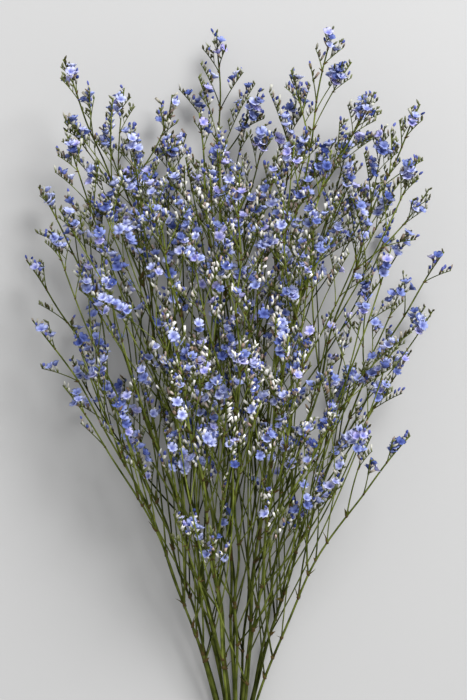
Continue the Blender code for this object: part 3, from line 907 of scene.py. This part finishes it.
def buds_of(plant, draw):
    """Where every bud sits: spaced along each spike, in two ranks on its upper side. Whole arrays per spike.
    Returns its root, its way, its distance from the spike's tip in centimetres and the parent's way."""
    rows = []
    for path, along, bare in plant["spikes"]:
        s = lengths_along(path)
        length = s[-1]
        count = max(2, int(length * (1 - bare) / BUD_SPACING))
        at = length * (bare + (1 - bare) * (np.arange(count) + draw.uniform(0.2, 0.6)) / count)
        here, ahead, before = (points_at(path, s, at + step) for step in (0.0, 0.0004, -0.0004))
        way = unit(ahead - before)
        upper, aside = square_to(way, along + np.array((0, 0.35, 0.15)))
        rank = np.where(np.arange(count) % 2 == 0, BUD_RANK, -BUD_RANK) + draw.uniform(-0.25, 0.25, count)
        lean = unit(1.05 * way + upper + rank[:, None] * aside)
        rows.append((here, lean, (length - at) / 0.010, np.broadcast_to(along, here.shape)))
    return [np.concatenate(column) for column in zip(*rows)]


def source_of(tree, source):
    """The output that a ramp or a blend goes by: a number per point for a name, or noise of a given scale."""
    if isinstance(source, str):
        node = tree.nodes.new("ShaderNodeAttribute")
        node.attribute_name = source
        return node.outputs["Fac"]
    place = tree.nodes.new("ShaderNodeTexCoord")
    noise = tree.nodes.new("ShaderNodeTexNoise")
    noise.inputs["Scale"].default_value = source
    noise.inputs["Detail"].default_value = 3.0
    tree.links.new(place.outputs["Object"], noise.inputs["Vector"])
    return noise.outputs["Fac"]


def ramp(tree, source, stops):
    """A colour ramp over a number per point or over noise. stops is (place, colour) pairs."""
    node = tree.nodes.new("ShaderNodeValToRGB")
    edges = node.color_ramp.elements
    while len(edges) < len(stops):
        edges.new(0.5)
    for edge, (place, colour) in zip(edges, stops):
        edge.position = place
        edge.color = (*colour, 1.0)
    tree.links.new(source_of(tree, source), node.inputs["Fac"])
    return node.outputs["Color"]


def blend(tree, source, first, second):
    """The first colour where the number per point is nought, the second where it is one."""
    node = tree.nodes.new("ShaderNodeMix")
    node.data_type = "RGBA"
    tree.links.new(source_of(tree, source), node.inputs["Factor"])
    for value, key in ((first, "A"), (second, "B")):
        socket = [s for s in node.inputs if s.name == key and s.type == "RGBA"][0]
        if isinstance(value, tuple):
            socket.default_value = (*value, 1.0)
        else:
            tree.links.new(value, socket)
    return [s for s in node.outputs if s.type == "RGBA"][0]


def skin(name, roughness, shine=0.06):
    """A plain material. Returns it, its node tree and the socket for its colour."""
    made = bpy.data.materials.new(name)
    made.use_nodes = True
    shader = made.node_tree.nodes["Principled BSDF"]
    shader.inputs["Roughness"].default_value = roughness
    shader.inputs["Specular IOR Level"].default_value = shine
    return made, made.node_tree, shader.inputs["Base Color"]


def stem_skin():
    """Olive green, mottled along the stem at random with bright patches raised as painted highlights, darker
    on twigs lying low in the bunch as painted shade, brown at the scales and pale at the cuts.
    """
    made, tree, colour = skin("dried statice stem", 0.50, 0.04)
    # The dark ramp goes on twigs that lie low in the bunch: painted shade, over a random share per twig.
    dark = ramp(tree, 120.0, ((0.32, (0.004, 0.006, 0.001)), (0.70, (0.016, 0.022, 0.002))))
    # The light ramp's top colour is raised so that its bright patches act as painted highlights.
    light = ramp(tree, 120.0, ((0.34, (0.050, 0.070, 0.004)), (0.72, (0.320, 0.370, 0.080))))
    green = blend(tree, "tone", dark, light)
    young = blend(tree, "young", green, (0.056, 0.074, 0.008))
    brown = blend(tree, "scale", young, (0.085, 0.055, 0.020))
    tree.links.new(blend(tree, "cut", brown, (0.420, 0.400, 0.220)), colour)
    return made


def bud_skin():
    """Green at a bud's foot, then papery: cream, white, tan, dull pink or brown by its own tint."""
    made, tree, colour = skin("dried statice bud", 0.75)
    paper = (
        (0.0, (0.92, 0.90, 0.84)),
        (0.40, (0.84, 0.83, 0.84)),
        (0.64, (0.72, 0.67, 0.58)),
        (0.82, (0.46, 0.34, 0.32)),
        (1.0, (0.24, 0.17, 0.10)),
    )
    green = ((0.0, (0.120, 0.140, 0.026)), (1.0, (0.022, 0.026, 0.004)))
    tree.links.new(blend(tree, "papery", ramp(tree, "tint", green), ramp(tree, "tint", paper)), colour)
    return made


def petal_skin():
    """Periwinkle at the rim, deeper blue-violet towards the throat, partly the bloom's own colour and partly
    painted shade in the throat, each bloom a little different.
    """
    made, tree, colour = skin("dried statice petal", 0.80, 0.03)
    rim = (
        (0.0, (0.115, 0.160, 0.460)),
        (0.35, (0.385, 0.455, 0.825)),
        (0.80, (0.680, 0.725, 0.980)),
        (1.0, (0.610, 0.560, 0.910)),
    )
    # Deep blue-violet for the throats and the blue buds; at the throat it is partly painted shade.
    deep_blue_and_throat_shade = ((0.0, (0.014, 0.024, 0.130)), (1.0, (0.070, 0.090, 0.400)))
    tree.links.new(blend(tree, "rim", ramp(tree, "tint", deep_blue_and_throat_shade), ramp(tree, "tint", rim)), colour)
    return made


def band_skin():
    """Tan elastic, a little mottled."""
    made, tree, colour = skin("tan elastic", 0.55, 0.30)
    tree.links.new(ramp(tree, 300.0, ((0.3, (0.50, 0.34, 0.17)), (0.7, (0.60, 0.43, 0.24)))), colour)
    return made


STEM_SKIN, BUD_SKIN, PETAL_SKIN, BAND_SKIN = stem_skin(), bud_skin(), petal_skin(), band_skin()


def twig_piece(name, plant, draw):
    """Every twig, scale and pointed bract of one stem, each kind carried in one go."""
    parts = []
    for kind, sides in enumerate(TWIG_SIDES):
        chosen = [(path, radii) for path, radii, k in plant["twigs"] if k == kind]
        if not chosen:
            continue
        paths, radii = (np.stack(column) for column in zip(*chosen))
        young = np.linspace(0, 1, paths.shape[1])[None, :, None] * np.ones((len(chosen), 1, sides))
        # Each twig's tone: a random share, plus a rise with its height above the surface, so twigs low in the
        # bunch are painted darker as painted shade.
        tone = 0.45 * draw.random((len(chosen), 1)) + 0.75 * rise(paths[:, :, 2], 0.0, 0.075) - 0.12
        cut = np.zeros(young.shape)
        cut[:, 0] = 1.0 if kind == 0 else 0.0
        has = {"young": (young * (0.20 + 0.12 * kind)).ravel(), "cut": cut.ravel()}
        has["tone"] = np.repeat(np.clip(tone, 0, 1).ravel(), sides)
        parts.append((*carried(paths, radii, sides), has))

    root, way, thick, size = (np.array(column) for column in zip(*plant["scales"]))
    size = size * draw.uniform(0.8, 1.3, len(root))
    down = unit(way + 0.5 * draw.uniform(-1, 1, way.shape))
    along, across_it, brown = np.array(SCALE_RINGS).T
    paths = root[:, None] + along[None, :, None] * size[:, None, None] * down[:, None]
    radii = across_it[None, :] * thick[:, None]
    parts.append((*carried(paths, radii, 5), {"scale": np.tile(np.repeat(brown, 5), len(root))}))

    root, way, size = (np.array(column) for column in zip(*plant["leaves"]))
    along, across_it, brown = np.array(LEAF_RINGS).T
    curl = unit(np.cross(way, draw.uniform(-1, 1, way.shape)))
    bend = (LEAF_CURL * along**2)[None, :, None] * curl[:, None]
    paths = root[:, None] + size[:, None, None] * (along[None, :, None] * way[:, None] + bend)
    radii = across_it[None, :] * LEAF_WIDTH * (size / size.mean())[:, None]
    tone = np.repeat(draw.uniform(0, 0.6, len(root)), 6 * len(along))
    has = {"scale": np.tile(np.repeat(brown, 6), len(root)), "tone": tone}
    parts.append((*carried(paths, radii, 6, LEAF_FLATNESS), has))
    return joined(name, parts, ("young", "scale", "cut", "tone"), STEM_SKIN)


def bud_kinds(roots, ends, draw):
    """What each bud is, by how near it is to its spike's tip and to the middle of the bunch. Returns how far
    inside it is, then whether it is at a tip, a bloom, a blue bud, a white one and an open calyx."""
    count = len(roots)
    inner = np.clip(INNER_REACH[0] - np.abs(roots[:, 0]) / INNER_REACH[1], 0, 1)
    inner = inner * np.clip((INNER_TOP[0] - roots[:, 1]) / INNER_TOP[1], 0, 1)
    chance = draw.random(count)
    tip = ends < GREEN_TIP[0] - GREEN_TIP[1] * inner
    share = np.where(inner > 0.5, INNER_BLOOMS, OUTER_BLOOMS) * rise(ends, 0.2, 0.6, 0.3, 1.3)
    share *= np.clip(1.0 + BLOOM_CLUMPING * clumps(roots), 0.4, 1.4)
    blooming = (chance < share) & ~tip
    blue = (chance >= share) & (chance < share + BLUE_BUDS)
    white_share = WHITE_BUDS[0] + WHITE_BUDS[1] * inner
    white_share *= np.clip(1.0 - BLOOM_CLUMPING * clumps(roots), 0.5, 1.4)
    white_share *= rise(roots[:, 1], 0.120, 0.090, 0.3)
    white = ~blooming & ~blue & (draw.random(count) < white_share)
    return inner, tip, blooming, blue, white, blooming | blue | (white & (chance > 0.62))


def bud_and_bloom_pieces(name, plant, draw):
    """The buds of one stem in one piece, and its blooms and blue buds in another."""
    roots, ways, ends, grows = buds_of(plant, draw)
    inner, tip, blooming, blue, white, opened = bud_kinds(roots, ends, draw)
    count = len(roots)
    length = draw.uniform(*BUD_LENGTH, count) * np.where(tip, TIP_BUD_LENGTH, 1.0)
    length = length * np.where(white, WHITE_BUD_LENGTH, 1.0)
    width = length * draw.uniform(*BUD_SLIMNESS, count) * np.where(white, 1.0, GREEN_BUD_WIDTH)
    pale = np.where(white | blooming | blue, 0.45 + 0.55 * inner, 0.12)
    parts = []
    for shape, chosen in ((CLOSED_BUD, ~opened), (PAPERY_BUD, opened)):
        wide, tall = width[chosen], length[chosen]
        points, faces, tint = set_down(shape, roots[chosen], ways[chosen], wide, tall, draw)
        paper = rise(shape[0][:, 2], 0.30, 0.35) * pale[chosen][:, None]
        tint = np.repeat(tint ** (0.8 + 0.7 * inner[chosen]), len(shape[0]))
        parts.append((points, faces, {"papery": paper.ravel(), "tint": tint}))
    buds = joined(name + "_buds", parts, ("papery", "tint"), BUD_SKIN)

    faced = unit(0.9 * ways + 0.35 * grows + 0.45 * draw.uniform(-1, 1, (count, 3)))
    upward = 0.08 + 0.8 * rise(roots[:, 2:], 0.0, 0.10) * inner[:, None] * draw.random((count, 1))
    faced = unit(faced + np.array((0, 0, 1.0)) * upward)
    foot = roots + ways * (BLOOM_SEAT * length)[:, None] - BLOOM_SINK * faced
    bloom_size = [draw.uniform(*limits, count) for limits in (BLOOM_WIDTH, BLOOM_LENGTH)]
    blue_size = [draw.uniform(*limits, count) for limits in (BLUE_BUD_WIDTH, BLUE_BUD_LENGTH)]
    kinds = ((BLOOM, BLOOM_RIM, blooming, bloom_size, CRUMPLE), (BLUE_BUD, BLUE_RIM, blue, blue_size, 0.0))
    parts = []
    for shape, rim, chosen, size, crumple in kinds:
        wide, tall = size[0][chosen], size[1][chosen]
        points, faces, tint = set_down(shape, foot[chosen], faced[chosen], wide, tall, draw, crumple)
        parts.append((points, faces, {"rim": np.tile(rim, len(tint)), "tint": np.repeat(tint, len(rim))}))
    return buds, joined(name + "_blooms", parts, ("rim", "tint"), PETAL_SKIN, smooth=False)


def band_piece():
    """Three rounds of elastic side by side: a bumped profile carried round the hexagon of the outer stems.
    Its outer face sinks between the rounds by the groove's depth times (1 - |sine|) cubed."""
    corners = np.repeat(math.tau / 6 * np.arange(6), 7)
    swing = math.tau / 6 * (np.tile(np.arange(7), 6) / 6 - 0.5)
    centre_z = LOWEST_ROW_Z + 2 * ROW_RISE
    middle = 2 * STEM_SPACING * np.stack((np.cos(corners), np.sin(corners)), axis=1)
    outward = np.stack((np.cos(corners + swing), np.sin(corners + swing)), axis=1)
    half = BAND_WIDTH / 2
    outer_y = np.linspace(-half, half, 25)
    wave = np.abs(np.sin(BAND_ROUNDS * math.pi * (outer_y + half) / BAND_WIDTH))
    bump = BAND_INNER + BAND_THICKNESS - BAND_GROOVE * (1 - wave) ** 3
    offsets = np.concatenate((bump, np.full(9, BAND_INNER)))
    places = np.concatenate((outer_y, np.linspace(half, -half, 9)))
    flat = middle[:, None] + offsets[None, :, None] * outward[:, None]
    y = np.broadcast_to(places[None, :], flat.shape[:2])
    points = np.stack((flat[..., 0], y, centre_z + flat[..., 1]), axis=-1)
    index = np.arange(points.shape[0] * points.shape[1]).reshape(points.shape[:2])
    right, down = np.roll(index, -1, axis=0), np.roll(index, -1, axis=1)
    both = np.roll(right, -1, axis=1)
    walls = np.stack((index, down, both, right), axis=-1).reshape(-1, 4)
    return piece("band_rounds", points.reshape(-1, 3), [walls], {}, BAND_SKIN)


def furnish():
    """Grows the stems and puts the finished pieces in the places of their solids."""
    stems = grown()
    place_extra_branches(stems, np.random.default_rng(EXTRA_SEED))
    for number, stem in enumerate(stems):
        node, name = f"statice_stem_{number + 1:02d}", f"stem_{number + 1:02d}"
        plant = dressed(stem, number)
        draw = np.random.default_rng(BUD_SEED + number)
        made = [twig_piece(name + "_twigs", plant, draw)]
        made += bud_and_bloom_pieces(name, plant, draw)
        for one in made:
            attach(one, "root")
            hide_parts(node)
    band = band_piece()
    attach(band, "root")
    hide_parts("elastic_band")


def lit_surface():
    """A pale level surface, one soft light from the upper right, and pale surroundings."""
    corners = ((-1, -1, 0), (1, -1, 0), (1, 1, 0), (-1, 1, 0))
    made, _, colour = skin("pale surface", 0.9)
    colour.default_value = (SURFACE_GREY, SURFACE_GREY, SURFACE_GREY, 1.0)
    floor = piece("pale_surface", 6.0 * np.array(corners), [np.array([[0, 1, 2, 3]])], {}, made)
    light = bpy.data.lights.new("soft window", "AREA")
    light.shape = "DISK"
    light.size = LIGHT_WIDTH
    light.energy = LIGHT_POWER
    lamp = bpy.data.objects.new("soft window", light)
    lamp.location = LIGHT_PLACE
    aim = np.array(LIGHT_AIM) - np.array(lamp.location)
    lean = math.acos(-aim[2] / np.linalg.norm(aim))
    lamp.rotation_euler = (lean, 0.0, math.atan2(aim[1], aim[0]) - math.pi / 2)
    bpy.context.scene.collection.objects.link(lamp)
    world = bpy.data.worlds.new("pale room")
    bpy.context.scene.world = world
    world.use_nodes = True
    room = world.node_tree.nodes["Background"].inputs
    room["Color"].default_value = (1.0, 1.0, 1.0, 1.0)
    room["Strength"].default_value = ROOM_BRIGHTNESS
    bpy.context.scene.view_settings.view_transform = "Standard"


def look_down():
    """The photograph's view: straight down, the band's end towards the bottom, 420 mm from edge to edge."""
    lens = bpy.data.cameras.new("photo view")
    lens.sensor_fit = "VERTICAL"
    lens.sensor_height = SENSOR_HEIGHT
    lens.lens = SENSOR_HEIGHT * CAMERA_DISTANCE / PICTURE_HEIGHT
    lens.clip_end = 20.0
    camera = bpy.data.objects.new("photo view", lens)
    camera.location = (*PICTURE_MIDDLE, BUNCH_MIDDLE_Z + CAMERA_DISTANCE)
    bpy.context.scene.collection.objects.link(camera)
    bpy.context.scene.camera = camera


furnish()
lit_surface()
look_down()
